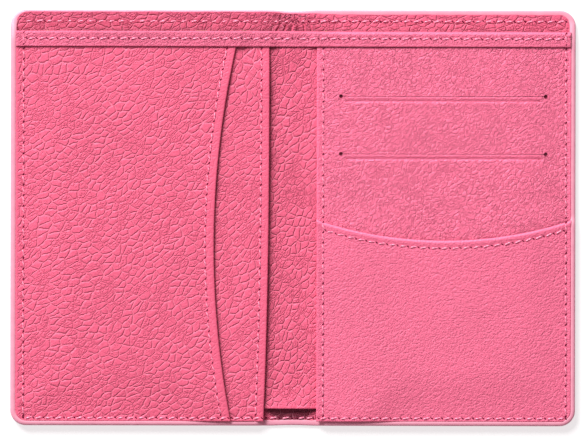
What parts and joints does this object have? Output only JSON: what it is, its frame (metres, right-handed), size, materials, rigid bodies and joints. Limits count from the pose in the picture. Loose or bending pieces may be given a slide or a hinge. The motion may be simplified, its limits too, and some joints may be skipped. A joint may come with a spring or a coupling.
{
  "type": "passport holder",
  "caption": "Bifold leather passport holder lying open, with a passport sleeve, a slip pocket, card slits, a receipt pocket and a banknote compartment.",
  "frame": {"origin": "middle of the outer face, level with the table that the open holder lies on", "axes": "+X across the open covers towards the card side, +Y up the height towards the banknote mouth, +Z out of the inner face"},
  "size_m": [0.193, 0.142, 0.0055],
  "materials": {
    "outer_leather": "pebbled, semi-gloss",
    "pebbled_leather": "pebbled, semi-gloss",
    "fine_leather": "fine grain, semi-gloss",
    "edge_paint": "rounded painted edge, glossy",
    "thread": "waxed polyester thread",
    "board": "bonded fibre board",
    "seam_tape": "woven reinforcement tape",
    "liner_cloth": "thin woven cloth"
  },
  "bodies": {
    "left_cover": {"shell_left": "outer_leather", "board_left": "board", "lining_left": "pebbled_leather", "edge_paint_left": "edge_paint", "bill_seam_tape_left": "seam_tape", "divider_left": "pebbled_leather", "sleeve_seam_tape": "seam_tape", "passport_sleeve": "pebbled_leather", "slip_seam_tape": "seam_tape", "slip_pocket": "pebbled_leather", "hem_left": "fine_leather", "seam_left_side": "thread", "seam_bottom_left": "thread", "seam_top_left": "thread", "seam_sleeve_edge": "thread", "seam_slip_edge": "thread", "seam_hem_left": "thread"},
    "spine": {"shell_spine": "outer_leather", "lining_spine": "pebbled_leather", "edge_paint_spine": "edge_paint", "divider_spine": "pebbled_leather", "hem_spine": "fine_leather", "seam_top_spine": "thread", "seam_bottom_spine": "thread", "seam_hem_spine": "thread"},
    "right_cover": {"shell_right": "outer_leather", "board_right": "board", "lining_right": "pebbled_leather", "edge_paint_right": "edge_paint", "bill_seam_tape_right": "seam_tape", "divider_right": "pebbled_leather", "card_liner_upper": "liner_cloth", "card_liner_lower": "liner_cloth", "card_seam_tape": "seam_tape", "card_panel_top": "fine_leather", "card_panel_middle": "fine_leather", "card_panel_bottom": "fine_leather", "card_panel_bridges": "fine_leather", "receipt_seam_tape": "seam_tape", "receipt_pocket": "fine_leather", "hem_right": "fine_leather", "seam_right_side": "thread", "seam_bottom_right": "thread", "seam_top_right": "thread", "seam_panel_inner": "thread", "seam_receipt_edge": "thread", "seam_hem_right": "thread"}
  },
  "joints": [
    {"name": "left_fold", "type": "hinge", "parent": "left_cover", "child": "spine", "pos_m": [-0.00358, 0, 0.0029], "axis": [0, -1, 0], "range_deg": [0, 90]},
    {"name": "right_fold", "type": "hinge", "parent": "spine", "child": "right_cover", "pos_m": [0.00358, 0, 0.0029], "axis": [0, -1, 0], "range_deg": [0, 90]}
  ],
  "couplings": [
    {"joint": "right_fold", "follows": "left_fold", "ratio": 1}
  ]
}
